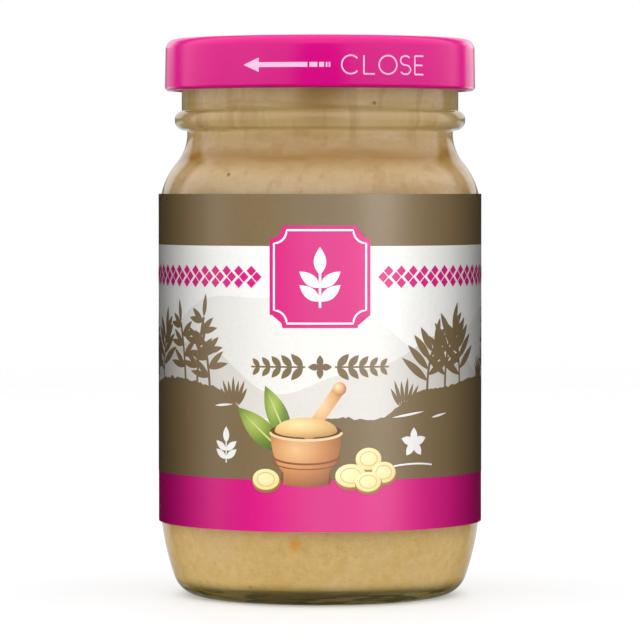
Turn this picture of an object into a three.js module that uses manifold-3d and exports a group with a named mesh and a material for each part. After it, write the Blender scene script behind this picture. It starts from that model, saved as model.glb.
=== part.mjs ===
// A filled glass jar of spice paste with a twist-off tinplate lid and a wrap-around paper label.
// Millimetres, +Z up. The origin is on the jar's axis at the plane it stands on, and the label faces -Y.
import * as THREE from "three";
import { mergeVertices } from "three/addons/utils/BufferGeometryUtils.js";
import Module from "manifold-3d";

const wasm = await Module();
wasm.setup();

// Facets round every turned piece, and how far a facet of a rounded outline may stand off its curve.
const SIDES = 48;
const CURVE_ERROR = 0.06;
const BEND_POINTS = 4;
const radians = THREE.MathUtils.degToRad;

// Glass outside: straight body, long sweep in to the heel, rounded heel, domed base.
const BODY_R = 29.05;
const SWEEP_R = 46;
const SWEEP_TOP = 18.6;
const HEEL_R = 4.9;
const BASE_RING_IN = 19.8;
const BASE_DOME = 1.8;

// Glass outside, above the body: shoulder, waist, carrying bead and the wall that the lid covers.
const SHOULDER_Z = 69.75;
const SHOULDER_R = 13;
const SHOULDER_TURN = radians(40);
const WAIST_R = 24.05;
const BEAD_Z = 85.9;
const BEAD_MID_R = 24.5;
const BEAD_ROUND = 1.8;
const FINISH_R = 25.05;
const RIM_Z = 99;
const RIM_ROUND = 0.9;

// Glass inside.
const WALL = 2.2;
const BORE_R = 22.3;
const BORE_BOTTOM = 87.5;
const FLOOR_Z = 3.2;
const FLOOR_DOME = 0.9;
const INNER_HEEL_R = 2;

// Threads: short ramps that the lid's lugs run under. A quarter turn apart, right-handed.
const LUGS = 4;
const LUG_TURN = 12;
const FIRST_LUG = 15;
const THREAD_LEAD = 12;
const THREAD_BACK = 12;
const THREAD_AHEAD = 62;
const THREAD_STEPS = 14;
const THREAD_OUT = 1.3;
const THREAD_TALL = 1.9;
const THREAD_SUNK = 0.6;

// Paste: fills the glass to just above the lid's lower edge, with a hair's gap to the wall.
const FILL_Z = 92.2;
const FILL_DOME = 0.5;
const PASTE_GAP = 0.1;

// Label: one strip round the body, with its two ends a little apart at the back.
const LABEL_LOW = 13.5;
const LABEL_HIGH = 72.6;
const LABEL_R = 29.1;
const LABEL_THICK = 0.15;
const LABEL_GAP = 5;
const LABEL_CORNER = 2;

// Lid: rim over the glass, panel set down inside it, vacuum button in the middle, curled lower edge.
const LID_TOP = 100.5;
const LID_LOW = 91.2;
const LID_R = 27.95;
const LID_SHEET = 0.4;
const LID_CORNER = 1.8;
const LID_FLARE = 0.12;
const RIM_FLAT_IN = 21.9;
const PANEL_R = 20.4;
const PANEL_DROP = 0.8;
const BUTTON_R = 10;
const BUTTON_RIDGE = 0.25;
const BUTTON_WIDTH = 1;
const BUTTON_DROP = 0.35;
const CURL_ROUND = 0.7;

// Lugs: lengths of the curl pressed in under the threads.
const LUG_IN_R = 25.4;
const LUG_TALL = 1.3;
const LUG_LIFT = 0.25;
const LUG_ROOT = 27.4;
const LUG_CLEAR = 0.25;

// Sealing ring: poured into the rim of the lid, and seated on the rim of the glass.
const SEAL_IN_R = 22.5;
const SEAL_OUT_R = 26;
const SEAL_CLEAR = 0.05;

// A three.js geometry as a closed solid, with shared corners merged and empty triangles dropped.
function solidOf(geometry) {
  const bare = geometry.index ? geometry.toNonIndexed() : geometry.clone();
  bare.deleteAttribute("normal");
  bare.deleteAttribute("uv");
  const merged = mergeVertices(bare, 1e-4);
  const corners = merged.index.array;
  const kept = [];
  for (let i = 0; i < corners.length; i += 3) {
    const [a, b, c] = corners.slice(i, i + 3);
    if (a !== b && b !== c && c !== a) kept.push(a, b, c);
  }
  const triVerts = new Uint32Array(kept);
  const vertProperties = merged.attributes.position.array;
  return new wasm.Manifold(new wasm.Mesh({ numProp: 3, vertProperties, triVerts }));
}

// A closed solid as a three.js geometry.
function geometryOf(solid) {
  const made = solid.getMesh();
  return new THREE.BufferGeometry()
    .setAttribute("position", new THREE.BufferAttribute(made.vertProperties, 3))
    .setIndex(new THREE.BufferAttribute(made.triVerts, 1));
}

// How many facets one stretch of an outline needs.
function facets(curve) {
  if (curve.isLineCurve) return 1;
  if (!curve.isEllipseCurve) return BEND_POINTS;
  const step = 2 * Math.acos(1 - CURVE_ERROR / curve.xRadius);
  return Math.ceil(Math.abs(curve.aEndAngle - curve.aStartAngle) / step);
}

// A profile of radius and height, turned round the jar's axis.
function turned(profile) {
  const points = [profile.curves[0].getPoint(0)];
  for (const curve of profile.curves) {
    points.push(...curve.getPoints(facets(curve)).slice(1));
  }
  return new THREE.LatheGeometry(points, SIDES).rotateX(Math.PI / 2);
}

// A flat shape in plan, raised from one height to another.
function raised(shape, low, high) {
  const options = { depth: high - low, bevelEnabled: false, curveSegments: BEND_POINTS };
  return new THREE.ExtrudeGeometry(shape, options).translate(0, 0, low);
}

// The centre of a heel that touches the floor plane and the inside of the body's sweep.
function heelCentre(sweep, heel, floor) {
  const height = SWEEP_TOP - floor - heel;
  const reach = sweep - heel;
  const turn = Math.asin(height / reach);
  return { r: BODY_R - SWEEP_R + reach * Math.cos(turn), z: floor + heel, turn };
}

// The glass wall from heel to waist, set in from the outside by the given depth.
function wallUp(profile, depth, heel, floor) {
  const foot = heelCentre(SWEEP_R - depth, heel, floor);
  const hollow = waistRadius() + depth;
  const middle = SHOULDER_R + waistRadius();
  const waistX = BODY_R - SHOULDER_R + middle * Math.cos(SHOULDER_TURN);
  const waistZ = SHOULDER_Z + middle * Math.sin(SHOULDER_TURN);
  profile.absarc(foot.r, foot.z, heel, -Math.PI / 2, -foot.turn, false);
  profile.absarc(BODY_R - SWEEP_R, SWEEP_TOP, SWEEP_R - depth, -foot.turn, 0, false);
  profile.absarc(BODY_R - SHOULDER_R, SHOULDER_Z, SHOULDER_R - depth, 0, SHOULDER_TURN, false);
  profile.absarc(waistX, waistZ, hollow, Math.PI + SHOULDER_TURN, Math.PI, true);
}

// The hollow curve from shoulder to waist, sized so that it ends upright at the waist.
function waistRadius() {
  const slack = BODY_R - SHOULDER_R * (1 - Math.cos(SHOULDER_TURN)) - WAIST_R;
  return slack / (1 - Math.cos(SHOULDER_TURN));
}

// The space inside the glass from the floor up to the given height, set in by the given gap.
function hollow(gap, top, dome) {
  const profile = new THREE.Path();
  profile.moveTo(0, FLOOR_Z + FLOOR_DOME + gap);
  const heel = INNER_HEEL_R - gap;
  const foot = heelCentre(SWEEP_R - WALL - gap, heel, FLOOR_Z + gap);
  profile.quadraticCurveTo(foot.r / 2, FLOOR_Z + FLOOR_DOME + gap, foot.r, FLOOR_Z + gap);
  wallUp(profile, WALL + gap, heel, FLOOR_Z + gap);
  profile.lineTo(BORE_R - gap, BORE_BOTTOM);
  profile.lineTo(BORE_R - gap, top - dome);
  profile.quadraticCurveTo(BORE_R * 0.6, top, 0, top);
  return profile;
}

// One thread ramp, wound up the neck from just behind its lug.
function thread(lugAngle) {
  const lugTop = LID_LOW + LUG_LIFT + LUG_TALL;
  const middle = lugTop + LUG_CLEAR + THREAD_TALL / 2;
  const points = [];
  for (let i = 0; i <= THREAD_STEPS; i++) {
    const turn = -THREAD_BACK + ((THREAD_BACK + THREAD_AHEAD) * i) / THREAD_STEPS;
    const angle = radians(lugAngle + turn);
    const height = middle + (THREAD_LEAD * turn) / 360;
    points.push(new THREE.Vector3(FINISH_R * Math.cos(angle), FINISH_R * Math.sin(angle), height));
  }
  const half = THREAD_TALL / 2;
  const section = new THREE.Shape();
  section.moveTo(-half, THREAD_SUNK);
  section.lineTo(-half, 0);
  section.lineTo(-half * 0.55, -THREAD_OUT);
  section.lineTo(half * 0.55, -THREAD_OUT);
  section.lineTo(half, 0);
  section.lineTo(half, THREAD_SUNK);
  const extrudePath = new THREE.CatmullRomCurve3(points);
  return new THREE.ExtrudeGeometry(section, { steps: THREAD_STEPS, extrudePath });
}

function jarGlass() {
  const profile = new THREE.Path();
  const foot = heelCentre(SWEEP_R, HEEL_R, 0);
  profile.moveTo(0, BASE_DOME);
  profile.quadraticCurveTo(BASE_RING_IN * 0.7, BASE_DOME, BASE_RING_IN, 0);
  profile.lineTo(foot.r, 0);
  wallUp(profile, 0, HEEL_R, 0);
  profile.lineTo(BEAD_MID_R, BEAD_Z - BEAD_ROUND);
  const beadEnd = Math.acos((FINISH_R - BEAD_MID_R) / BEAD_ROUND);
  profile.absarc(BEAD_MID_R, BEAD_Z, BEAD_ROUND, -Math.PI / 2, beadEnd, false);
  profile.absarc(FINISH_R - RIM_ROUND, RIM_Z - RIM_ROUND, RIM_ROUND, 0, Math.PI / 2, false);
  profile.lineTo(0, RIM_Z);
  let glass = solidOf(turned(profile)).subtract(solidOf(turned(hollow(0, RIM_Z + 1, 0))));
  for (let i = 0; i < LUGS; i++) {
    glass = glass.add(solidOf(thread(FIRST_LUG + (360 / LUGS) * i)));
  }
  return geometryOf(glass);
}

function paste() {
  return geometryOf(solidOf(turned(hollow(PASTE_GAP, FILL_Z, FILL_DOME))));
}

// The gap between the label's ends, flared at top and bottom into the label's round corners.
function labelGap() {
  const half = LABEL_GAP / 2;
  const wide = half + LABEL_CORNER;
  const shape = new THREE.Shape();
  shape.moveTo(-wide, LABEL_LOW - 1);
  shape.lineTo(wide, LABEL_LOW - 1);
  shape.lineTo(wide, LABEL_LOW);
  shape.absarc(wide, LABEL_LOW + LABEL_CORNER, LABEL_CORNER, -Math.PI / 2, -Math.PI, true);
  shape.absarc(wide, LABEL_HIGH - LABEL_CORNER, LABEL_CORNER, Math.PI, Math.PI / 2, true);
  shape.lineTo(wide, LABEL_HIGH + 1);
  shape.lineTo(-wide, LABEL_HIGH + 1);
  shape.lineTo(-wide, LABEL_HIGH);
  shape.absarc(-wide, LABEL_HIGH - LABEL_CORNER, LABEL_CORNER, Math.PI / 2, 0, true);
  shape.absarc(-wide, LABEL_LOW + LABEL_CORNER, LABEL_CORNER, 0, -Math.PI / 2, true);
  return raised(shape, 0, 2 * LABEL_R).rotateX(Math.PI / 2).translate(0, 2 * LABEL_R, 0);
}

function label() {
  const profile = new THREE.Path();
  profile.moveTo(LABEL_R, LABEL_LOW);
  profile.lineTo(LABEL_R + LABEL_THICK, LABEL_LOW);
  profile.lineTo(LABEL_R + LABEL_THICK, LABEL_HIGH);
  profile.lineTo(LABEL_R, LABEL_HIGH);
  profile.lineTo(LABEL_R, LABEL_LOW);
  return geometryOf(solidOf(turned(profile)).subtract(solidOf(labelGap())));
}

// The lid's sheet from its middle to the top of its skirt, set down by the given depth.
function lidTop(profile, depth, outward) {
  const top = LID_TOP - depth;
  const panel = top - PANEL_DROP;
  const corner = LID_CORNER - depth;
  const inset = LID_R - LID_CORNER;
  const line = [
    [0, panel - BUTTON_DROP],
    [BUTTON_R * 0.6, panel - BUTTON_DROP * 0.6],
    [BUTTON_R - BUTTON_WIDTH, panel],
    [BUTTON_R, panel + BUTTON_RIDGE],
    [BUTTON_R + BUTTON_WIDTH, panel],
    [PANEL_R + depth / 2, panel],
    [RIM_FLAT_IN + depth / 2, top],
  ];
  if (outward) {
    line.forEach(([r, z]) => profile.lineTo(r, z));
    profile.absarc(inset, top - corner, corner, Math.PI / 2, 0, true);
  } else {
    profile.absarc(inset, top - corner, corner, 0, Math.PI / 2, false);
    line.reverse().forEach(([r, z]) => profile.lineTo(r, z));
  }
}

function lid() {
  const profile = new THREE.Path();
  const curlR = LID_R + LID_FLARE - CURL_ROUND;
  const curlZ = LID_LOW + CURL_ROUND;
  profile.moveTo(0, LID_TOP - LID_SHEET - PANEL_DROP - BUTTON_DROP);
  lidTop(profile, LID_SHEET, true);
  profile.lineTo(LID_R - LID_SHEET, curlZ + 1.6 * CURL_ROUND);
  profile.absarc(curlR, curlZ, CURL_ROUND, 0.6 * Math.PI, 2 * Math.PI, false);
  lidTop(profile, 0, false);
  const half = radians(LUG_TURN / 2);
  const pad = new THREE.Shape();
  pad.absarc(0, 0, LUG_ROOT, -half, half, false);
  pad.absarc(0, 0, LUG_IN_R, half, -half, true);
  let made = solidOf(turned(profile));
  for (let i = 0; i < LUGS; i++) {
    const low = LID_LOW + LUG_LIFT;
    const lug = raised(pad, low, low + LUG_TALL);
    made = made.add(solidOf(lug.rotateZ(radians(FIRST_LUG + (360 / LUGS) * i))));
  }
  return geometryOf(made);
}

function sealingRing() {
  const low = RIM_Z + SEAL_CLEAR;
  const high = LID_TOP - LID_SHEET - SEAL_CLEAR;
  const soft = (high - low) / 2;
  const profile = new THREE.Path();
  profile.moveTo(SEAL_IN_R, high);
  profile.lineTo(SEAL_IN_R, low + soft);
  profile.lineTo(SEAL_IN_R + soft, low);
  profile.lineTo(SEAL_OUT_R - soft, low);
  profile.lineTo(SEAL_OUT_R, low + soft);
  profile.lineTo(SEAL_OUT_R, high);
  profile.lineTo(SEAL_IN_R, high);
  return geometryOf(solidOf(turned(profile)));
}

// One named mesh with its own surface.
function piece(name, geometry, color, roughness, metalness, opacity = 1) {
  const look = { color, roughness, metalness, opacity, transparent: opacity < 1 };
  const mesh = new THREE.Mesh(geometry, new THREE.MeshStandardMaterial(look));
  mesh.name = name;
  return mesh;
}

const jar = new THREE.Group();
jar.add(piece("jar_glass", jarGlass(), 0xdde6dc, 0.05, 0, 0.35));
jar.add(piece("paste", paste(), 0xd2ab72, 0.6, 0));
jar.add(piece("label", label(), 0xf0eeea, 0.55, 0));

const closure = new THREE.Group();
closure.add(piece("sealing_ring", sealingRing(), 0xe6dfd2, 0.7, 0));
closure.add(piece("lid", lid(), 0xe0128a, 0.3, 0.2));

const part = new THREE.Group();
part.add(jar, closure);

export default part;
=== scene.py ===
import math
from math import cos, pi, radians, sin

import bmesh
import bpy
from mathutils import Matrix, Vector, noise


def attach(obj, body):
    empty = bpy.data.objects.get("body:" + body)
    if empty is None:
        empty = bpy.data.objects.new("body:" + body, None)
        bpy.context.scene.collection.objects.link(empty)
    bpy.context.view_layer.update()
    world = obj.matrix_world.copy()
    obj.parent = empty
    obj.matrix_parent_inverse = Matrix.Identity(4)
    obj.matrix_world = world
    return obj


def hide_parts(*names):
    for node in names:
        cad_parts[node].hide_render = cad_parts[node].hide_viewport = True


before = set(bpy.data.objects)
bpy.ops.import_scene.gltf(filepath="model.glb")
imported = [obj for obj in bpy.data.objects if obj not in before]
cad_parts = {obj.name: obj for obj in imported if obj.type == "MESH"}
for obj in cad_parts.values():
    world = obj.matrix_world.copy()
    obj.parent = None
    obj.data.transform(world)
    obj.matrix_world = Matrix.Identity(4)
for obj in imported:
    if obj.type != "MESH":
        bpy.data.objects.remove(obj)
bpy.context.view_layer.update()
scene = bpy.context.scene


# The glass jar: clear soda-lime glass, pressed and blown in a mould. It has a domed base, a long
# sweep in to a rounded heel, a carrying bead, and four thread ramps that the lid's lugs run under.
MM = 0.001
TURN_STEPS = 160
BODY_R = 29.05
WALL = 2.2
SWEEP_R = 46
SWEEP_TOP = 18.6
HEEL_R = 4.9
INNER_HEEL_R = 2
BASE_RING_R = 19.8
BASE_DOME = 1.8
FLOOR_Z = 3.2
FLOOR_DOME = 0.9
SHOULDER_Z = 69.75
SHOULDER_R = 13
SHOULDER_TURN = 40
WAIST_R = 24.05
BEAD_Z = 85.9
BEAD_MID_R = 24.5
BEAD_ROUND = 1.8
FINISH_R = 25.05
BORE_R = 22.3
BORE_BOTTOM = 87.5
RIM_Z = 99
RIM_ROUND = 0.9
LUG_ANGLES = (15, 105, 195, 285)
THREAD_MID_Z = 93.95
THREAD_LEAD = 12
THREAD_BACK = 12
THREAD_AHEAD = 62
THREAD_OUT = 1.3
THREAD_TALL = 1.9
THREAD_RUNOUT = 3
THREAD_SLOPE = 0.45
SHARP_FROM = 42
THIN_GLASS = (0.985, 0.99, 0.975, 1)
# Painted shade: the dark glass tone laid on the bead's corners, the outline, the bead's ends and the
# neck.
SHADED_GLASS = (0.42, 0.45, 0.25, 1)
# The base's tints: partly the thick glass's own green, partly painted shade, with painted glints.
BASE_BROWN = (0.38, 0.38, 0.17, 1)
BASE_OLIVE = (0.13, 0.2, 0.06, 1)
BASE_GLINT = (0.85, 1, 0.9, 1)
BASE_DARK_R = 25.5
BASE_TINT_Z = 1.12 * FLOOR_Z
BASE_CLEAR_Z = 1.28 * FLOOR_Z
SWELLS_PER_M = 90
STREAK_PRESS = 14
OLIVE_STREAK = (0.4, 0.5)
GLINT_STREAK = (0.54, 0.6)
CORNER_SHADE_WIDE = 0.7
CORNER_SHADE = 0.7
EDGE_DARK = 0.8
EDGE_FACING = (0.82, 1)
BEAD_DARK = 0.75
BEAD_FACING = (0.35, 0.75)
NECK_DARK = 0.35
NECK_FACING = (0.42, 0.58)


def arc(r, z, radius, start, end, steps):
    """Points of radius and height along a round stretch of a turned profile, angles in degrees."""
    turns = [radians(start + (end - start) * i / steps) for i in range(steps + 1)]
    return [(r + radius * cos(a), z + radius * sin(a)) for a in turns]


def bend(start, pull, end, steps):
    """Points along a curve that leaves start towards pull and comes into end from pull."""
    points = []
    for i in range(steps + 1):
        t = i / steps
        weights = ((1 - t) ** 2, 2 * t * (1 - t), t * t)
        pairs = list(zip(weights, (start, pull, end)))
        points.append(tuple(sum(w * p[k] for w, p in pairs) for k in (0, 1)))
    return points


def straight(start, end, steps):
    """Points along a straight stretch, both ends included."""
    ways = [i / steps for i in range(steps + 1)]
    return [tuple(a + (b - a) * t for a, b in zip(start, end)) for t in ways]


def wall(depth, heel, floor):
    """The jar's wall from heel to waist, set in from the outside by a depth."""
    reach = SWEEP_R - depth - heel
    rise = math.asin((SWEEP_TOP - floor - heel) / reach)
    foot_r = BODY_R - SWEEP_R + reach * cos(rise)
    rise = math.degrees(rise)
    lean = radians(SHOULDER_TURN)
    hollow = (BODY_R - SHOULDER_R * (1 - cos(lean)) - WAIST_R) / (1 - cos(lean))
    waist_r = BODY_R - SHOULDER_R + (SHOULDER_R + hollow) * cos(lean)
    waist_z = SHOULDER_Z + (SHOULDER_R + hollow) * sin(lean)
    return (
        arc(foot_r, floor + heel, heel, -90, -rise, 14)
        + arc(BODY_R - SWEEP_R, SWEEP_TOP, SWEEP_R - depth, -rise, 0, 12)[1:]
        + straight((BODY_R - depth, SWEEP_TOP), (BODY_R - depth, SHOULDER_Z), 12)[1:]
        + arc(BODY_R - SHOULDER_R, SHOULDER_Z, SHOULDER_R - depth, 0, SHOULDER_TURN, 14)[1:]
        + arc(waist_r, waist_z, hollow + depth, 180 + SHOULDER_TURN, 180, 12)[1:]
    )


def turned(profile):
    """Spins a profile of radius and height, in millimetres, round the jar's axis."""
    bm = bmesh.new()
    verts = [bm.verts.new((r * MM, 0, z * MM)) for r, z in profile]
    edges = [bm.edges.new(pair) for pair in zip(verts, verts[1:])]
    if profile[0][0] > 0:
        edges.append(bm.edges.new((verts[-1], verts[0])))
    spun = {"axis": (0, 0, 1), "cent": (0, 0, 0), "angle": 2 * pi, "steps": TURN_STEPS}
    bmesh.ops.spin(bm, geom=verts + edges, use_merge=True, **spun)
    bmesh.ops.remove_doubles(bm, verts=bm.verts, dist=1e-6)
    bmesh.ops.recalc_face_normals(bm, faces=bm.faces)
    return bm


def placed(bm, name, body, materials, node=None):
    """Makes a mesh object of a piece that rides a body, in place of a CAD node where one is named."""
    mesh = bpy.data.meshes.new(name)
    bm.to_mesh(mesh)
    bm.free()
    mesh.shade_smooth()
    mesh.set_sharp_from_angle(angle=radians(SHARP_FROM))
    for material in materials:
        mesh.materials.append(material)
    piece = bpy.data.objects.new(name, mesh)
    scene.collection.objects.link(piece)
    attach(piece, body)
    if node:
        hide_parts(node)
    return piece


def srgb(red, green, blue):
    """A colour read in eight-bit values, as the linear colour that a shader takes."""
    ways = [c / 255 for c in (red, green, blue)]
    return (*[((c + 0.055) / 1.055) ** 2.4 if c > 0.04 else c / 12.92 for c in ways], 1)


def add(tree, kind, inputs=None, **settings):
    """Adds a node, with its settings, and its inputs given as values or as sockets to link from."""
    node = tree.nodes.new(kind)
    for name, value in settings.items():
        setattr(node, name, value)
    for key, value in (inputs or {}).items():
        if isinstance(value, bpy.types.NodeSocket):
            tree.links.new(value, node.inputs[key])
        else:
            node.inputs[key].default_value = value
    return node


def finish(name, sockets):
    """A material with these values on its Principled shader, and its node tree and shader."""
    material = bpy.data.materials.new(name)
    material.use_nodes = True
    shader = material.node_tree.nodes["Principled BSDF"]
    for socket, value in sockets.items():
        shader.inputs[socket].default_value = value
    return material, material.node_tree, shader


def ramp(tree, value, stops):
    """Colours that follow a value, through stops of position and colour."""
    node = add(tree, "ShaderNodeValToRGB", {"Fac": value})
    for i, (position, color) in enumerate(stops):
        stop = node.color_ramp.elements[i] if i < 2 else node.color_ramp.elements.new(position)
        stop.position, stop.color = position, color
    return node.outputs["Color"]


def spread(tree, value, low, high, low_out, high_out):
    """A value eased from one range to another, and held at its ends."""
    ends = {"Value": value, "From Min": low, "From Max": high, "To Min": low_out, "To Max": high_out}
    return add(tree, "ShaderNodeMapRange", ends, interpolation_type="SMOOTHSTEP").outputs["Result"]


def mixed(tree, share, color, other, blend="MIX"):
    """One colour turned into another, or multiplied by it, by a share."""
    ends = {"Factor": share, "A": color, "B": other}
    return add(tree, "ShaderNodeMix", ends, data_type="RGBA", blend_type=blend).outputs["Result"]


def product(tree, value, other):
    """Two values multiplied."""
    return add(tree, "ShaderNodeMath", {0: value, 1: other}, operation="MULTIPLY").outputs["Value"]


def distance(tree, value, middle):
    """How far a value is from a middle one, either way."""
    off = add(tree, "ShaderNodeMath", {0: value, 1: middle}, operation="SUBTRACT").outputs["Value"]
    return add(tree, "ShaderNodeMath", {0: off}, operation="ABSOLUTE").outputs["Value"]


def thread_height(angle, z):
    """How far the thread ramps stand out of the neck at an angle in degrees and a height."""
    stand = 0
    for lug in LUG_ANGLES:
        turn = (angle - lug + 180) % 360 - 180
        off = abs(z - THREAD_MID_Z - THREAD_LEAD * turn / 360) / (THREAD_TALL / 2)
        ends = min(turn + THREAD_BACK, THREAD_AHEAD - turn) / THREAD_RUNOUT
        slope = min(max((1 - off) / THREAD_SLOPE, 0), 1)
        stand = max(stand, THREAD_OUT * slope * min(max(ends, 0), 1))
    return stand


bead_end = math.degrees(math.acos((FINISH_R - BEAD_MID_R) / BEAD_ROUND))
outside = wall(0, HEEL_R, 0)
inside = wall(WALL, INNER_HEEL_R, FLOOR_Z)
bead_foot = (BEAD_MID_R, BEAD_Z - BEAD_ROUND)
glass_profile = (
    bend((0, BASE_DOME), (0.7 * BASE_RING_R, BASE_DOME), (BASE_RING_R, 0), 12)
    + outside
    + bend(outside[-1], (WAIST_R, bead_foot[1]), bead_foot, 5)[1:]
    + arc(BEAD_MID_R, BEAD_Z, BEAD_ROUND, -90, bead_end, 20)[1:]
    + straight((FINISH_R, BEAD_Z + BEAD_ROUND), (FINISH_R, RIM_Z - RIM_ROUND), 40)
    + arc(FINISH_R - RIM_ROUND, RIM_Z - RIM_ROUND, RIM_ROUND, 0, 90, 8)[1:]
    + arc(BORE_R + RIM_ROUND, RIM_Z - RIM_ROUND, RIM_ROUND, 90, 180, 8)
    + straight((BORE_R, BORE_BOTTOM), inside[-1], 4)
    + inside[-2::-1]
    + bend(inside[0], (inside[0][0] / 2, FLOOR_Z + FLOOR_DOME), (0, FLOOR_Z + FLOOR_DOME), 10)[1:]
)
glass_mesh = turned(glass_profile)
for vert in glass_mesh.verts:
    flat = Vector((vert.co.x, vert.co.y, 0))
    if abs(flat.length - FINISH_R * MM) < 1e-6:
        stand = thread_height(math.degrees(math.atan2(vert.co.y, vert.co.x)), vert.co.z / MM)
        vert.co += flat.normalized() * stand * MM
glass_mesh.normal_update()

glass_look, tree, shader = finish(
    "clear_jar_glass",
    {"Roughness": 0.02, "IOR": 1.5, "Transmission Weight": 1},
)
place = add(tree, "ShaderNodeTexCoord").outputs["Object"]
swell = add(tree, "ShaderNodeTexNoise", {"Vector": place, "Scale": SWELLS_PER_M, "Detail": 1})
high = add(tree, "ShaderNodeSeparateXYZ", {"Vector": place}).outputs["Z"]
level = add(tree, "ShaderNodeVectorMath", {0: place, 1: (1, 1, 0)}, operation="MULTIPLY").outputs
across = add(tree, "ShaderNodeVectorMath", {0: level["Vector"]}, operation="LENGTH").outputs["Value"]
# Painted shade and glint: a dark olive base, partly the thick glass's own green, with pale streaks.
low = spread(tree, high, BASE_TINT_Z * MM, BASE_CLEAR_Z * MM, 1, 0)
base = product(tree, low, spread(tree, across, BASE_DARK_R * MM, (BASE_DARK_R + 1) * MM, 1, 0))
pressed = add(tree, "ShaderNodeMapping", {"Vector": place, "Scale": (1, 1, STREAK_PRESS)}).outputs
values = {"Vector": pressed["Vector"], "Scale": SWELLS_PER_M, "Detail": 2}
streak = add(tree, "ShaderNodeTexNoise", values).outputs["Fac"]
thick_and_shaded = mixed(tree, spread(tree, streak, *OLIVE_STREAK, 0, 1), BASE_BROWN, BASE_OLIVE)
thick_and_shaded = mixed(tree, spread(tree, streak, *GLINT_STREAK, 0, 1), thick_and_shaded, BASE_GLINT)
tint = mixed(tree, base, THIN_GLASS, thick_and_shaded)
# Painted shade: dark lines in the corners above and below the bead.
for shade_z in (BEAD_Z - BEAD_ROUND, BEAD_Z + BEAD_ROUND):
    off = distance(tree, high, shade_z * MM)
    tint = mixed(tree, spread(tree, off, 0, CORNER_SHADE_WIDE * MM, CORNER_SHADE, 0), tint, SHADED_GLASS)
# Painted shade: the glass darkens where it turns away towards its outline, in place of dark reflections.
facing = add(tree, "ShaderNodeLayerWeight", {"Blend": 0.5}).outputs["Facing"]
tint = mixed(tree, spread(tree, facing, *EDGE_FACING, 0, EDGE_DARK), tint, SHADED_GLASS)
# Painted shade: the ends of the bead and the edges of the neck under the lid are darkened.
off = distance(tree, high, BEAD_Z * MM)
bead = spread(tree, off, 0.9 * BEAD_ROUND * MM, 1.1 * BEAD_ROUND * MM, 1, 0)
neck = spread(tree, high, (BEAD_Z + BEAD_ROUND) * MM, (BEAD_Z + 1.5 * BEAD_ROUND) * MM, 0, 1)
for zone, limits, dark in ((bead, BEAD_FACING, BEAD_DARK), (neck, NECK_FACING, NECK_DARK)):
    edge = product(tree, zone, spread(tree, facing, *limits, 0, dark))
    tint = mixed(tree, edge, tint, SHADED_GLASS)
tree.links.new(tint, shader.inputs["Base Color"])
values = {"Height": swell.outputs["Fac"], "Strength": 0.08, "Distance": 0.0004}
ripple = add(tree, "ShaderNodeBump", values)
tree.links.new(ripple.outputs["Normal"], shader.inputs["Normal"])
rays = add(tree, "ShaderNodeLightPath")
clear = add(tree, "ShaderNodeBsdfTransparent", {"Color": (0.99, 1, 0.98, 1)})
lets_light = {0: rays.outputs["Is Shadow Ray"], 1: shader.outputs["BSDF"], 2: clear.outputs["BSDF"]}
through = add(tree, "ShaderNodeMixShader", lets_light)
tree.links.new(through.outputs["Shader"], tree.nodes["Material Output"].inputs["Surface"])
glass_jar = placed(glass_mesh, "glass_jar", "jar", [glass_look], "jar_glass")


# The paste: ground root, moist and coarse, poured in hot so that it wets the whole wall. It is paler
# where it is packed tight, with oily brown patches, wavy orange bands, fibres and specks of skin at the
# glass.
FILL_Z = 92.2
FILL_EDGE = 0.6
FILL_IN = 0.4
FILL_DIP = 0.5
FILL_MID_DIP = 0.2
FILL_LUMPS = 0.5
LUMPS_DOWN = 0.8
LUMPS_PER_M = 160
PASTE_WET = 0.06
# Band one greys the shoulder as a painted reflection; band two darkens the waist as painted shade.
# Each band of tone: the heights where it starts, is full, starts to end and ends, its share, its colour.
TONE_BANDS = (
    (40, 50, 74, 79, 0.6, srgb(220, 190, 152)),
    (76, 80, 83, 86, 0.45, srgb(196, 156, 106)),
    (82.5, 84.5, 87, 89, 0.8, srgb(250, 216, 152)),
    (87.5, 89.5, 96, 97, 0.75, srgb(244, 212, 154)),
)
WIPED_Z = 66
WIPED_FULL_Z = 72
# Each orange band: its height, its half width and its share. Each shred: its place, its radius, its
# colour.
ORANGE_BANDS = ((78.2, 3, 1), (88.6, 0.9, 0.3))
ORANGE_WAVE = 7
ORANGE_TONE = srgb(198, 140, 0)
RUN_WIDE = 7
RUN_Z = 83
RUN_FULL_Z = 90
RUN_SHARE = 0.65
RUN_HAZE = 0.05
RUN_TONE = srgb(182, 126, 56)
SHREDS = (
    ((-4.4, -26.6, 11.1), 2, srgb(255, 172, 26)),
    ((9.2, -20.4, 88.6), 0.5, srgb(104, 66, 36)),
)
SHRED_SHARE = 0.8
# Each kind of speck: the share of spots that stay free of it, where it is full, its colour.
SPECKS = ((0.94, 0.945, srgb(240, 164, 70)), (0.985, 0.988, srgb(104, 66, 36)))
SPECK_SHARE = 0.8
SPECKS_PER_M = 260


def mottle(tree, scale, detail, roughness=0.5, distortion=0, stretch=(1, 1, 1), turn=(0, 0, 0)):
    """Noise through a piece, drawn out or pressed flat along its axes."""
    place = add(tree, "ShaderNodeTexCoord").outputs["Object"]
    drawn = add(tree, "ShaderNodeMapping", {"Vector": place, "Scale": stretch, "Rotation": turn})
    values = {"Vector": drawn.outputs["Vector"], "Scale": scale, "Detail": detail}
    values |= {"Roughness": roughness, "Distortion": distortion}
    return add(tree, "ShaderNodeTexNoise", values).outputs["Fac"]


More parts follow.
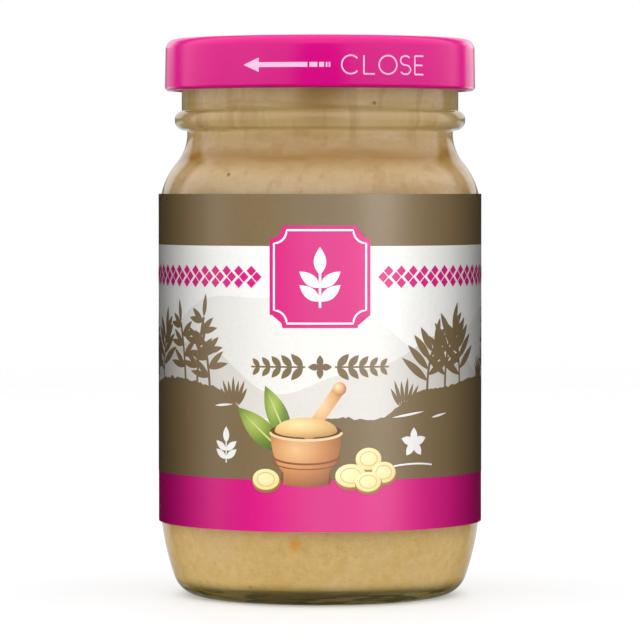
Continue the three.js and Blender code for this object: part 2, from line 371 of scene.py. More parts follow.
paste_wall = wall(WALL - PASTE_WET, INNER_HEEL_R, FLOOR_Z - PASTE_WET)
paste_mesh = turned(
    bend((0, FLOOR_Z + FLOOR_DOME), (paste_wall[0][0] / 2, FLOOR_Z + FLOOR_DOME), paste_wall[0], 8)
    + paste_wall[1:]
    + straight((BORE_R + PASTE_WET, BORE_BOTTOM), (BORE_R + PASTE_WET, FILL_Z - FILL_EDGE), 4)
    + bend((BORE_R - FILL_IN, FILL_Z), (BORE_R * 0.5, FILL_Z - FILL_DIP), (0, FILL_Z - FILL_MID_DIP), 16)
)
for vert in paste_mesh.verts:
    if vert.co.z > (FILL_Z - 0.9 * FILL_EDGE) * MM:
        vert.co.z += FILL_LUMPS * MM * (noise.noise(vert.co * LUMPS_PER_M) - LUMPS_DOWN)

paste_look, tree, shader = finish("ground_root_paste", {"Roughness": 0.5, "IOR": 1.4})
place = add(tree, "ShaderNodeTexCoord").outputs["Object"]
axes = add(tree, "ShaderNodeSeparateXYZ", {"Vector": place}).outputs
high = axes["Z"]
pulp = mottle(tree, scale=620, detail=8, roughness=0.72)
packed = mottle(tree, scale=80, detail=3)
fibre = mottle(tree, scale=700, detail=4, distortion=2, stretch=(1, 1, 2.2), turn=(0.5, 0.4, 0))
oil = mottle(tree, scale=48, detail=6, roughness=0.7, stretch=(1, 1, 3))
wipe = mottle(tree, scale=420, detail=4, stretch=(1, 1, 0.2))
wiped = spread(tree, high, WIPED_Z * MM, WIPED_FULL_Z * MM, 0, 1)
tone = ramp(tree, pulp, ((0.36, srgb(245, 203, 124)), (0.64, srgb(255, 222, 149))))
for value, start, full, share, color in (
    (packed, 0.5, 0.7, 0.35, srgb(252, 218, 164)),
    (packed, 0.45, 0.3, 0.25, srgb(240, 194, 108)),
    (fibre, 0.58, 0.68, 0.3, srgb(255, 236, 188)),
    (fibre, 0.42, 0.32, 0.2, srgb(196, 142, 78)),
):
    tone = mixed(tree, spread(tree, value, start, full, 0, share), tone, color)
for start, full, still, end, share, color in TONE_BANDS:
    rising = spread(tree, high, start * MM, full * MM, 0, share)
    falling = spread(tree, high, still * MM, end * MM, 1, 0)
    tone = mixed(tree, product(tree, rising, falling), tone, color)
for value, start, full, share, color in (
    (oil, 0.5, 0.36, 0.4, srgb(204, 158, 84)),
    (oil, 0.52, 0.68, 0.45, srgb(255, 230, 190)),
    (wipe, 0.52, 0.66, 0.35, srgb(204, 150, 70)),
):
    tone = mixed(tree, product(tree, wiped, spread(tree, value, start, full, 0, share)), tone, color)
uneven = {0: oil, 1: ORANGE_WAVE * MM, 2: high}
waved = add(tree, "ShaderNodeMath", uneven, operation="MULTIPLY_ADD").outputs["Value"]
patchy = spread(tree, oil, 0.3, 0.55, 0.7, 1)
for orange_z, orange_wide, share in ORANGE_BANDS:
    off = distance(tree, waved, (orange_z + ORANGE_WAVE / 2) * MM)
    orange_share = product(tree, patchy, spread(tree, off, 0, orange_wide * MM, share, 0))
    tone = mixed(tree, orange_share, tone, ORANGE_TONE)
uneven = {0: oil, 1: RUN_WIDE * MM, 2: axes["X"]}
waved = add(tree, "ShaderNodeMath", uneven, operation="MULTIPLY_ADD").outputs["Value"]
beside = spread(tree, distance(tree, waved, RUN_WIDE / 2 * MM), 0, RUN_WIDE * MM, RUN_SHARE, RUN_HAZE)
run = product(tree, beside, spread(tree, high, RUN_Z * MM, RUN_FULL_Z * MM, 0, 1))
tone = mixed(tree, run, tone, RUN_TONE)
speck = add(tree, "ShaderNodeTexVoronoi", {"Vector": place, "Scale": SPECKS_PER_M}).outputs
rare = add(tree, "ShaderNodeSeparateColor", {"Color": speck["Color"]}).outputs["Red"]
dot = spread(tree, speck["Distance"], 0.16, 0.08, 0, 1)
for start, full, color in SPECKS:
    share = product(tree, dot, spread(tree, rare, start, full, 0, SPECK_SHARE))
    tone = mixed(tree, share, tone, color)
for spot, wide, color in SHREDS:
    ends = {0: place, 1: [v * MM for v in spot]}
    off = add(tree, "ShaderNodeVectorMath", ends, operation="DISTANCE").outputs["Value"]
    tone = mixed(tree, spread(tree, off, 0.2 * wide * MM, wide * MM, SHRED_SHARE, 0), tone, color)
tree.links.new(tone, shader.inputs["Base Color"])
lumps = add(tree, "ShaderNodeBump", {"Height": pulp, "Strength": 0.25, "Distance": 0.0003})
tree.links.new(lumps.outputs["Normal"], shader.inputs["Normal"])
root_paste = placed(paste_mesh, "root_paste", "jar", [paste_look], "paste")


# The sealing ring: cream plastisol, poured into the lid's rim and cured there. It bears down on the
# rim of the glass.
SEAL_IN_R = 22.5
SEAL_OUT_R = 26
SEAL_LOW = 99.05
SEAL_HIGH = 100.05
SEAL_ROUND = 0.5

seal_mesh = turned(
    [(SEAL_IN_R, SEAL_HIGH)]
    + arc(SEAL_IN_R + SEAL_ROUND, SEAL_LOW + SEAL_ROUND, SEAL_ROUND, 180, 270, 6)
    + arc(SEAL_OUT_R - SEAL_ROUND, SEAL_LOW + SEAL_ROUND, SEAL_ROUND, -90, 0, 6)
    + [(SEAL_OUT_R, SEAL_HIGH)]
)
grain = bpy.data.node_groups.new("fine_grain", "ShaderNodeTree")
for name, kind in (("Color", "Color"), ("Amount", "Float"), ("Scale", "Float")):
    grain.interface.new_socket(name, in_out="INPUT", socket_type=f"NodeSocket{kind}")
grain.interface.new_socket("Color", in_out="OUTPUT", socket_type="NodeSocketColor")
grain.interface.new_socket("Height", in_out="OUTPUT", socket_type="NodeSocketFloat")
given = add(grain, "NodeGroupInput").outputs
place = add(grain, "ShaderNodeTexCoord").outputs["Object"]
values = {"Vector": place, "Scale": given["Scale"], "Detail": 3}
speckle = add(grain, "ShaderNodeTexNoise", values).outputs["Fac"]
centred = add(grain, "ShaderNodeMath", {0: speckle, 1: -0.5}, operation="ADD").outputs["Value"]
shade = add(grain, "ShaderNodeMath", {0: centred, 1: given["Amount"], 2: 1}, operation="MULTIPLY_ADD")
toned = mixed(grain, 1, given["Color"], shade.outputs["Value"], "MULTIPLY")
add(grain, "NodeGroupOutput", {"Color": toned, "Height": speckle})


def grainy(name, color, sockets, amount, scale, relief):
    """A material of one colour with fine grain in tone and surface, its tree, and its colour's socket."""
    look, tree, shader = finish(name, sockets)
    values = {"Color": color, "Amount": amount, "Scale": scale}
    node = add(tree, "ShaderNodeGroup", values, node_tree=grain)
    tree.links.new(node.outputs["Color"], shader.inputs["Base Color"])
    bump = {"Height": node.outputs["Height"], "Strength": relief, "Distance": 0.0001}
    tree.links.new(add(tree, "ShaderNodeBump", bump).outputs["Normal"], shader.inputs["Normal"])
    return look, tree, node.inputs["Color"]


cream = srgb(232, 224, 206)
compound = {"Roughness": 0.55}
seal_look = grainy("sealing_compound", cream, compound, amount=0.16, scale=600, relief=0.2)[0]
seal = placed(seal_mesh, "sealing_ring_moulded", "seal", [seal_look], "sealing_ring")


# The lid: tinplate, stamped, lacquered pink outside and gold inside. Its lower edge is rolled in, and
# at four places the roll is pressed in further, as lugs that hook under the glass threads.
LID_TOP = 100.5
LID_LOW = 91.2
LID_R = 27.95
LID_SHEET = 0.4
LID_CORNER = 1.8
LID_FLARE = 0.12
RIM_FLAT_IN = 21.9
PANEL_R = 20.4
PANEL_DROP = 0.8
BUTTON_R = 10
BUTTON_RIDGE = 0.25
RIDGE_HALF = 1
BUTTON_DROP = 0.35
CURL_ROUND = 0.7
LUG_TURN = 12
LUG_IN_R = 25.4
LUG_ROOT_R = 27.4
LUG_LOW = 91.45
LUG_TALL = 1.3


def lid_sheet(depth):
    """The lid's sheet from its middle out to the top of its skirt, set down by a depth."""
    top = LID_TOP - depth
    panel = top - PANEL_DROP
    dip = panel - BUTTON_DROP
    ridge = (BUTTON_R, panel + 2 * BUTTON_RIDGE)
    corner = LID_CORNER - depth
    step = (PANEL_R + depth / 2 + RIM_FLAT_IN + depth / 2) / 2
    return (
        bend((0, dip), (BUTTON_R * 0.5, dip), (BUTTON_R - 1.2 * RIDGE_HALF, panel), 8)
        + bend((BUTTON_R - RIDGE_HALF, panel), ridge, (BUTTON_R + RIDGE_HALF, panel), 6)
        + bend((PANEL_R + depth / 2, panel), (step, panel), (step, (panel + top) / 2), 4)
        + bend((step, (panel + top) / 2), (step, top), (RIM_FLAT_IN + depth / 2, top), 4)[1:]
        + arc(LID_R - LID_CORNER, top - corner, corner, 90, 0, 10)
    )


under = lid_sheet(LID_SHEET)
over = lid_sheet(0)
curl_r = LID_R + LID_FLARE - CURL_ROUND
curl_z = LID_LOW + CURL_ROUND
lid_mesh = turned(
    under
    + [(LID_R - LID_SHEET, curl_z + 1.6 * CURL_ROUND)]
    + arc(curl_r, curl_z, CURL_ROUND, 108, 360, 20)
    + over[::-1]
)
for angle in LUG_ANGLES:
    first, last = angle - LUG_TURN / 2, angle + LUG_TURN / 2
    ring = arc(0, 0, LUG_ROOT_R, first, last, 6) + arc(0, 0, LUG_IN_R, last, first, 6)
    pad = lid_mesh.faces.new([lid_mesh.verts.new((x * MM, y * MM, LUG_LOW * MM)) for x, y in ring])
    raised = bmesh.ops.extrude_face_region(lid_mesh, geom=[pad])["geom"]
    top_verts = [g for g in raised if isinstance(g, bmesh.types.BMVert)]
    bmesh.ops.translate(lid_mesh, verts=top_verts, vec=(0, 0, LUG_TALL * MM))
    shell = {f for v in top_verts for f in v.link_faces} | {pad}
    bmesh.ops.recalc_face_normals(lid_mesh, faces=list(shell))

lid_pink = srgb(219, 4, 132)
lid_gold = srgb(206, 170, 92)
lacquer = {"Roughness": 0.16, "Specular IOR Level": 0.3}
clear_lacquer = {"Roughness": 0.3, "Metallic": 0.8}
lid_look = grainy("pink_lacquer", lid_pink, lacquer, amount=0.06, scale=420, relief=0.1)[0]
gold_look = grainy("gold_lacquer", lid_gold, clear_lacquer, amount=0.2, scale=260, relief=0.1)[0]
for face in lid_mesh.faces:
    middle = face.calc_center_median()
    out = Vector((middle.x, middle.y, 0)).length / MM
    inner_side = middle.z / MM > curl_z + CURL_ROUND and out < LID_R - LID_SHEET + 0.01
    face.material_index = 1 if inner_side and face.normal.z <= 0.2 else 0
twist_lid = placed(lid_mesh, "twist_lid", "lid", [lid_look, gold_look], "lid")


# The label: one strip of white satin paper glued round the body, its rounded ends apart at the back.
# It is printed with a brown band along its top and a pink band along its foot.
LABEL_R = 29.1
LABEL_THICK = 0.15
LABEL_FACE = LABEL_R + LABEL_THICK
LABEL_LOW = 13.5
LABEL_HIGH = 72.6
LABEL_GAP = 5
LABEL_CORNER = 2
STRIP_STEP = 1
BROWN_LOW = 63.5
PINK_HIGH = 22.6


def wrapped(bm, radius, lean=0):
    """Bends a flat sheet, millimetres along X and up Z with its face to -Y, round the jar.

    It comes out wider by lean for each millimetre up."""
    low = min(v.co.x for v in bm.verts)
    high = max(v.co.x for v in bm.verts)
    for i in range(1, math.ceil((high - low) / STRIP_STEP)):
        cut = (low + i * STRIP_STEP, 0, 0)
        sheet = bm.verts[:] + bm.edges[:] + bm.faces[:]
        bmesh.ops.bisect_plane(bm, geom=sheet, dist=1e-5, plane_co=cut, plane_no=(1, 0, 0))
    for vert in bm.verts:
        reach = radius + lean * vert.co.z
        turn = vert.co.x / reach
        reach -= vert.co.y
        vert.co = Vector((reach * sin(turn), -reach * cos(turn), vert.co.z)) * MM
    bm.normal_update()
    for face in bm.faces:
        middle = face.calc_center_median()
        if face.normal.x * middle.x + face.normal.y * middle.y < 0:
            face.normal_flip()


def rounded(x, z, half_wide, half_tall, corner):
    """The outline of a flat rectangle with round corners."""
    wide, tall = half_wide - corner, half_tall - corner
    return (
        arc(x + wide, z - tall, corner, -90, 0, 8)
        + arc(x + wide, z + tall, corner, 0, 90, 8)
        + arc(x - wide, z + tall, corner, 90, 180, 8)
        + arc(x - wide, z - tall, corner, 180, 270, 8)
    )


label_half = pi * LABEL_FACE - LABEL_GAP / 2
label_mid = (LABEL_LOW + LABEL_HIGH) / 2
label_mesh = bmesh.new()
outline = rounded(0, label_mid, label_half, label_mid - LABEL_LOW, LABEL_CORNER)
label_mesh.faces.new([label_mesh.verts.new((x, 0, z)) for x, z in outline])
wrapped(label_mesh, LABEL_FACE)
bmesh.ops.solidify(label_mesh, geom=label_mesh.faces[:], thickness=LABEL_THICK * MM)

SATIN = {"Roughness": 0.42, "Specular IOR Level": 0.4}


def ink(name, color):
    """A satin ink of one colour, its tree, and its colour's socket."""
    return grainy(name, color, SATIN, amount=0.1, scale=1400, relief=0.06)


white = srgb(247, 246, 243)
brown = srgb(130, 109, 75)
pink = srgb(219, 10, 129)
paper_look, tree, paper_color = ink("printed_label_paper", white)
place = add(tree, "ShaderNodeTexCoord").outputs["Object"]
height = add(tree, "ShaderNodeSeparateXYZ", {"Vector": place}).outputs["Z"]
over_brown = add(tree, "ShaderNodeMath", {0: height, 1: BROWN_LOW * MM}, operation="GREATER_THAN")
under_pink = add(tree, "ShaderNodeMath", {0: height, 1: PINK_HIGH * MM}, operation="LESS_THAN")
banded = mixed(tree, over_brown.outputs["Value"], white, brown)
tree.links.new(mixed(tree, under_pink.outputs["Value"], banded, pink), paper_color)
paper_label = placed(label_mesh, "paper_label", "jar", [paper_look], "label")


# The print on the label: flat inks laid one over another on the paper. Pale hills, a brushed brown
# ground with plants, and rows of pink lozenges run round the jar. On the front are a pink plaque, a
# garland of leaves and a still life of spices.
INK_STEP = 0.008
ROW_Z = 58.1
LOZENGE = 0.93
LOZENGE_STEP = 1.05
CHEVRON_PITCH = 2.5
ROW_START = 10.4
PLAQUE_Z = 58.15
PLAQUE_HALF = 8.95
PLAQUE_SCOOP = 2.3
KEYLINE_IN = 0.8
KEYLINE_WIDE = 0.34
GARLAND_Z = 42.4
LIT_SPOT = (0.36, 0.66, 0)
MIDDLE_OFF = 0.4
DARK_OFF = 0.82


def moved(outline, x, z, turn=0, size=1):
    """A flat outline scaled, turned anticlockwise by degrees, and moved."""
    c, d = size * cos(radians(turn)), size * sin(radians(turn))
    return [(x + c * px - d * pz, z + d * px + c * pz) for px, pz in outline]


def flipped(outlines):
    """The mirror images of outlines, left for right."""
    return [[(-x, z) for x, z in outline] for outline in outlines]


def oval(x, z, half_wide, half_tall, steps=36):
    """An ellipse."""
    ring = arc(0, 0, 1, 0, 360 - 360 / steps, steps - 1)
    return [(x + half_wide * px, z + half_tall * pz) for px, pz in ring]


def leaf(length, wide):
    """A pointed leaf that grows up from the origin."""
    edge = bend((0, 0), (wide, length * 0.42), (0, length), 10)
    return edge + [(-x, z) for x, z in edge[-2:0:-1]]


def ribbon(points, wide, closed=False):
    """A line of even width, as one four-cornered patch for each stretch."""
    line = points + points[:1] if closed else points
    last = len(line) - 1
    sides = []
    for i, point in enumerate(line):
        before = line[i - 1] if i else line[-2 if closed else 0]
        after = line[i + 1] if i < last else line[1 if closed else last]
        along = Vector(after) - Vector(before)
        across = Vector((-along.y, along.x)).normalized() * wide / 2
        sides.append((Vector(point) + across, Vector(point) - across))
    return [[a[0], a[1], b[1], b[0]] for a, b in zip(sides, sides[1:])]


def printed(name, radius, layers, body, lean=0):
    """Prints flat outlines, in millimetres, round a cylinder, each ink a hair over the last."""
    bm = bmesh.new()
    shade = bm.loops.layers.uv.new("shade")
    for index, (look, outlines) in enumerate(layers):
        for order, outline in enumerate(outlines):
            lift = INK_STEP * (index + 1 + order / (2 * len(outlines)))
            face = bm.faces.new([bm.verts.new((x, -lift, z)) for x, z in outline])
            face.material_index = index
            left, right = min(p[0] for p in outline), max(p[0] for p in outline)
            low, high = min(p[1] for p in outline), max(p[1] for p in outline)
            for loop in face.loops:
                spot = loop.vert.co
                loop[shade].uv = ((spot.x - left) / (right - left), (spot.z - low) / (high - low))
    bmesh.ops.triangulate(bm, faces=[f for f in bm.faces if len(f.verts) > 4])
    wrapped(bm, radius, lean)
    return placed(bm, name, body, [look for look, _ in layers])


airbrush = bpy.data.node_groups.new("airbrush", "ShaderNodeTree")
for name in ("Light", "Middle", "Dark"):
    airbrush.interface.new_socket(name, in_out="INPUT", socket_type="NodeSocketColor")
airbrush.interface.new_socket("Color", in_out="OUTPUT", socket_type="NodeSocketColor")
given = add(airbrush, "NodeGroupInput").outputs
place = add(airbrush, "ShaderNodeUVMap", uv_map="shade").outputs["UV"]
ends = {0: place, 1: LIT_SPOT}
off = add(airbrush, "ShaderNodeVectorMath", ends, operation="DISTANCE").outputs["Value"]
toned = given["Light"]
for name, start, end in (("Middle", 0, MIDDLE_OFF), ("Dark", MIDDLE_OFF, DARK_OFF)):
    share = add(airbrush, "ShaderNodeMapRange", {"Value": off, "From Min": start, "From Max": end})
    toned = mixed(airbrush, share.outputs["Result"], toned, given[name])
add(airbrush, "NodeGroupOutput", {"Color": toned})


def airbrushed(name, light, middle, dark):
    """An ink that is shaded from a light upper left to a dark lower right across each shape."""
    look, tree, color = ink(name, middle)
    tones = {"Light": light, "Middle": middle, "Dark": dark}
    shaded = add(tree, "ShaderNodeGroup", tones, node_tree=airbrush)
    tree.links.new(shaded.outputs["Color"], color)
    return look


def eased(t):
    """A step from 0 to 1 that starts and ends level."""
    t = min(max(t, 0), 1)
    return t * t * (3 - 2 * t)


def skyline(height, step=0.5):
    """A strip round the whole label, from the pink band up to a height that depends on the place."""
    count = round(2 * label_half / step)
    line = [x for x, _ in straight((-label_half, 0), (label_half, 0), count)]
    ends = zip(line, line[1:])
    return [[(a, PINK_HIGH), (b, PINK_HIGH), (b, height(b)), (a, height(a))] for a, b in ends]


def far_hills(x):
    """The height of the far hills' line."""
    return 51 + 5.5 * sin(x / 10.5 + 2.4) + 2 * sin(x / 4.9 + 0.4)


def near_hills(x):
    """The height of the near hills' line."""
    return 42.5 + 4.2 * sin(x / 8.2 - 1.1) + 1.3 * sin(x / 3.7 + 1)


def ground(x):
    """The height of the brown ground, low in front, with a brushed edge."""
    bank = 6.5 * eased((abs(x) - 8.5) / 12) + 0.9 * sin(x / 5.5 + 1)
    brush = 0.5 * noise.noise((0.9 * x, 3, 0)) + 0.3 * noise.noise((3.1 * x, 8, 0))
    return 32.6 + bank + brush


def grass_tuft(x, blades):
    """Blades of grass that fan out of the ground."""
    outlines = []
    for i in range(blades):
        fan = (i - (blades - 1) / 2) / blades
        blade = leaf(4.6 - 5 * fan * fan + 0.6 * (i % 2), 0.75)
        outlines.append(moved(blade, x + 2.2 * fan, ground(x) - 0.8, -70 * fan))
    return outlines


def cane(x, tall, lean):
    """A jointed cane with narrow leaves at its joints."""
    foot = ground(x) - 1
    line = bend((x, foot), (x + 0.2 * lean, foot + 0.6 * tall), (x + lean, foot + tall), 12)
    outlines = ribbon(line, 0.55)
    for i in range(3, 13, 2):
        side = 1 if i % 4 == 1 else -1
        for turn in (48, 78):
            outlines.append(moved(leaf(5.4 - 0.16 * i, 1.15), *line[i], -side * turn))
    outlines.append(moved(leaf(4.2, 1), *line[12], -4 * lean))
    return outlines


def broad_shoot(x, tall, lean):
    """A bending shoot with long leaves, left and right by turns."""
    foot = ground(x) - 1
    line = bend((x, foot), (x, foot + 0.7 * tall), (x + lean, foot + tall), 10)
    outlines = ribbon(line, 0.5)
    for i in range(2, 10):
        side = 1 if i % 2 else -1
        outlines.append(moved(leaf(7.6 - 0.3 * i, 1.5), *line[i], -side * (66 - 3.5 * i) - 3 * lean))
    outlines.append(moved(leaf(5, 1.3), *line[10], -7 * lean))
    return outlines


def sprig(x, z, tall):
    """A small upright sprig: a stem, pairs of leaves and one at the tip."""
    outlines = ribbon([(0, 0), (0, 6)], 0.42)
    outlines.append(moved(leaf(4.6, 2.1), 0, 5.6))
    for start in (1.1, 3.4):
        outlines += [moved(leaf(4.4, 1.9), 0, start, turn) for turn in (52, -52)]
    return [moved(outline, x, z, 0, tall / 10.2) for outline in outlines]


def scooped(half, scoop):
    """A square plaque with its corners scooped out."""
    corners = [(half, -half, 180), (half, half, 270), (-half, half, 0), (-half, -half, 90)]
    outline = []
    for x, z, start in corners:
        outline += arc(x, z + PLAQUE_Z, scoop, start, start - 90, 8)
    return outline


def lozenge(x, z):
    """One lozenge of the rows."""
    return [(x - LOZENGE, z), (x, z - LOZENGE), (x + LOZENGE, z), (x, z + LOZENGE)]


chevrons = []
for i in range(int((label_half - ROW_START) / CHEVRON_PITCH) - 1):
    point = ROW_START + LOZENGE + i * CHEVRON_PITCH
    chevrons.append(lozenge(point, ROW_Z))
    chevrons += [lozenge(point + LOZENGE_STEP, ROW_Z + side * LOZENGE_STEP) for side in (1, -1)]
chevrons += flipped(chevrons)

plants = []
for x, tall, lean in ((-24.5, 12.5, 1.8), (-21.2, 9, -1.4), (-27.8, 11, -1.6)):
    plants += cane(x, tall, lean)
for x, tall, lean in ((20.5, 8.5, 2), (25, 11, 2.4), (29.5, 9, -1)):
    plants += broad_shoot(x, tall, lean)
plants += grass_tuft(-16, 7) + grass_tuft(15.5, 6)
for x in (-78, -62, -45, 44, 60, 76):
    plants += cane(x, 11, 1.6) + cane(x + 3.4, 8, -1)
    plants += broad_shoot(x + 8, 9, 1.5) + grass_tuft(x - 5, 6)

garland = ribbon([(2.6, GARLAND_Z), (12.4, GARLAND_Z)], 0.32)
for i in range(5):
    blade = leaf(3.1 - 0.28 * i, 1.35 - 0.1 * i)
    garland += [moved(blade, 3 + 1.95 * i, GARLAND_Z, turn) for turn in (-42, -138)]
garland += flipped(garland)
garland += [moved(leaf(2.1, 1.2), 0, GARLAND_Z, turn) for turn in (0, 90, 180, 270)]

# Each streak: its place along and up, its length and its turn.
STREAKS = ((13, 33.4, 7, 8), (21.5, 33.2, 4, 10), (-13.5, 33.6, 5.5, -6), (-20, 35.4, 4, 5))
streaks = [moved(leaf(long, 0.42), x, z, turn - 90) for x, z, long, turn in STREAKS]

white_marks = sprig(0, PLAQUE_Z - 5.4, 10.6) + sprig(-17.5, 25.4, 6.4)
white_marks += ribbon(scooped(PLAQUE_HALF - KEYLINE_IN, PLAQUE_SCOOP), KEYLINE_WIDE, closed=True)
white_marks += [moved(leaf(2.7, 1.5), 17.5, 28.9, turn) for turn in range(0, 360, 72)]
white_marks += ribbon(bend((13.4, 24.9), (17.5, 25.5), (21.6, 24.9), 8), 0.3)

BOWL_X = -2.5
RIM_UP = 31.2
RIM_HALF = 6.3
RIM_DEEP = 1.4
bowl_side = bend((RIM_HALF, RIM_UP), (RIM_HALF - 0.2, 25.4), (3.5, 23.6), 12) + [(3.3, 23.2)]
bowl_side += bend((3.3, 23.2), (4.1, 22.7), (4.3, 21.9), 4)
bowl = bowl_side + [(2, 21.5), (0, 21.4), (-2, 21.5)] + [(-x, z) for x, z in bowl_side[::-1]]
front_rim = [(RIM_HALF * px, RIM_UP + RIM_DEEP * pz) for px, pz in arc(0, 0, 1, 180, 360, 24)]
bowl += front_rim[1:-1]
belly = [(x * 0.93, z - 4.4) for x, z in front_rim]
heap = [(5.5 * px, RIM_UP + (2.4 if pz > 0 else 1.1) * pz) for px, pz in arc(0, 0, 1, 0, 350, 35)]
pestle = ribbon([(0.6, 31), (5.9, 38.6)], 2.1) + [oval(5.9, 38.6, 1.2, 1.2), oval(0.6, 31, 1.3, 1.3)]
still_life = {
    "leaf": [moved(leaf(11.5, 4.2), -6.5, 27.5, 48), moved(leaf(10.5, 3.8), -5.5, 29.5, 24)],
    "rib": [moved(leaf(10, 0.32), -6.5, 27.5, 48), moved(leaf(9.2, 0.3), -5.5, 29.5, 24)],
    "inside": [moved(oval(0, RIM_UP, RIM_HALF, RIM_DEEP), BOWL_X, 0)],
    "pestle": [moved(outline, BOWL_X, 0) for outline in pestle],
    "heap": [moved(heap, BOWL_X, 0)],
    "bowl": [moved(bowl, BOWL_X, 0)],
    "band": ribbon(moved(belly, BOWL_X, 0), 0.35) + ribbon(moved(belly, BOWL_X, -0.9), 0.2),
    "lip": ribbon(moved(front_rim, BOWL_X, -0.2), 0.45),
}
# Each slice: its place along and up, half its width and half its height.
SLICES = (
    (8.6, 26.3, 2.5, 2.1),
    (5.4, 23.4, 2.9, 2.2),
    (11.4, 23.9, 2.4, 2),
    (8.5, 22.3, 2.5, 1.9),
    (-9.6, 22.7, 2.6, 2),
)
inks = {
    "leaf": airbrushed("leaf_green_ink", srgb(186, 202, 104), srgb(122, 150, 58), srgb(70, 96, 38)),
    "rib": ink("leaf_rib_ink", srgb(206, 216, 140))[0],
    "inside": ink("bowl_shadow_ink", srgb(110, 66, 38))[0],
    "pestle": airbrushed("pestle_ink", srgb(250, 220, 172), srgb(226, 168, 110), srgb(150, 92, 54)),
    "heap": airbrushed("spice_heap_ink", srgb(252, 226, 166), srgb(234, 192, 122), srgb(186, 134, 74)),
    "bowl": airbrushed("bowl_ink", srgb(240, 192, 134), srgb(208, 138, 80), srgb(132, 76, 42)),
    "band": ink("bowl_band_ink", srgb(150, 88, 48))[0],
    "lip": ink("bowl_lip_ink", srgb(246, 208, 156))[0],
}
skin_ink = airbrushed("slice_skin_ink", srgb(214, 164, 96), srgb(190, 134, 72), srgb(140, 90, 48))
flesh_ink = airbrushed("slice_flesh_ink", srgb(252, 240, 190), srgb(248, 230, 168), srgb(236, 208, 134))
ring_ink = ink("slice_ring_ink", srgb(220, 186, 112))[0]
brown_ink = ink("brown_ink", brown)[0]
pink_ink = ink("pink_ink", pink)[0]
white_ink = ink("white_ink", white)[0]
layers = [
    (ink("far_hill_ink", srgb(236, 234, 229))[0], skyline(far_hills)),
    (ink("near_hill_ink", srgb(222, 218, 211))[0], skyline(near_hills)),
    (brown_ink, skyline(ground) + plants + garland),
    (pink_ink, [scooped(PLAQUE_HALF, PLAQUE_SCOOP)] + chevrons),
    (white_ink, white_marks + streaks),
]
layers += [(inks[name], outlines) for name, outlines in still_life.items()]
for x, z, wide, tall in SLICES:
    layers.append((skin_ink, [oval(x + 0.1, z - 0.4, wide, tall)]))
    layers.append((flesh_ink, [oval(x, z, wide - 0.15, tall - 0.15)]))
    layers.append((ring_ink, ribbon(oval(x, z, wide * 0.62, tall * 0.6), 0.16, closed=True)))
label_print = printed("label_print", LABEL_FACE, layers, "jar")


# The print on the lid: a thin white arrow with a broken tail, and the word that says which way to
# turn it, in plain thin capitals.
MARK_Z = 95.2
MARK_LINE = 0.27
LETTER_TALL = 3.5
ARROW_TIP = -14
ARROW_BASE = -11
ARROW_HALF = 1.25
TAIL_WIDE = 0.85
TAIL = ((ARROW_BASE, -2.2), (-1.85, -0.45), (-0.15, 0.7), (1, 1.3), (1.5, 1.8))
WORD_START = 3.8
LETTER_GAP = 0.72

half = (LETTER_TALL - MARK_LINE) / 2
round_c = [(1.6 * px, half * pz) for px, pz in arc(0, 0, 1, 42, 318, 24)]
round_o = oval(0, 0, 1.72, half)
round_s = [(1.02 * px, half / 2 * (pz + 1)) for px, pz in arc(0, 0, 1, 35, 270, 16)]
round_s += [(1.08 * px, half / 2 * (pz - 1)) for px, pz in arc(0, 0, 1, 90, -150, 16)[1:]]
upright = ribbon([(0, -half), (0, half)], MARK_LINE)
three_bars = []
for z, long in ((half, 1.95), (0, 1.75), (-half, 1.95)):
    three_bars += ribbon([(0, z), (long, z)], MARK_LINE)
# Each letter: the room to its left and right from its own zero, and its strokes.
letters = (
    (1.6, 1.45, ribbon(round_c, MARK_LINE)),
    (0.2, 2.1, upright + ribbon([(0, -half), (2, -half)], MARK_LINE)),
    (1.72, 1.72, ribbon(round_o, MARK_LINE, closed=True)),
    (1.08, 1.08, ribbon(round_s, MARK_LINE)),
    (0.2, 2, upright + three_bars),
)
marks = [[(ARROW_TIP, MARK_Z), (ARROW_BASE, MARK_Z - ARROW_HALF), (ARROW_BASE, MARK_Z + ARROW_HALF)]]
for first, last in TAIL:
    marks += ribbon([(first, MARK_Z), (last, MARK_Z)], TAIL_WIDE)
pen = WORD_START
for before, after, patches in letters:
    marks += [moved([tuple(p) for p in patch], pen + before, MARK_Z) for patch in patches]
    pen += before + after + LETTER_GAP
mark_ink = ink("thin_white_ink", srgb(255, 200, 236))[0]
lean = -LID_FLARE / (LID_TOP - LID_CORNER - curl_z)
foot_r = LID_R + LID_FLARE - lean * curl_z
lid_print = printed("lid_print", foot_r, [(mark_ink, marks)], "lid", lean)


# The floor and the light: a pale table top that glows everywhere but under the jar, painted light that
# pales the jar's shadow on it, and fades into a white room. A white tent lights all but the label from
# all round. The label, the lid and the low paste have soft lights of their own, and narrow ones put a
# glint on label and lid.
FLOOR_R = 1.2
FLOOR_CLEAR = 0.25
FLOOR_PALE = (0.92, 0.92, 0.92, 1)
FLOOR_DIM = (0.42, 0.42, 0.42, 1)
FLOOR_GLOW = 0.52
TENT_R = 1.6
TENT_UNDER = 0.25
TENT_BAND = 0.2
TENT_BAND_UP = 0.06
TENT_LOW = 0.85
TENT_HIGH = 1.45
TENT_RISE = (-0.4 * TENT_R, 0.8 * TENT_R)
TENT_HORIZON = (-0.25 * TENT_R, -0.08 * TENT_R)
TENT_BACK = (0.12, 0.15)
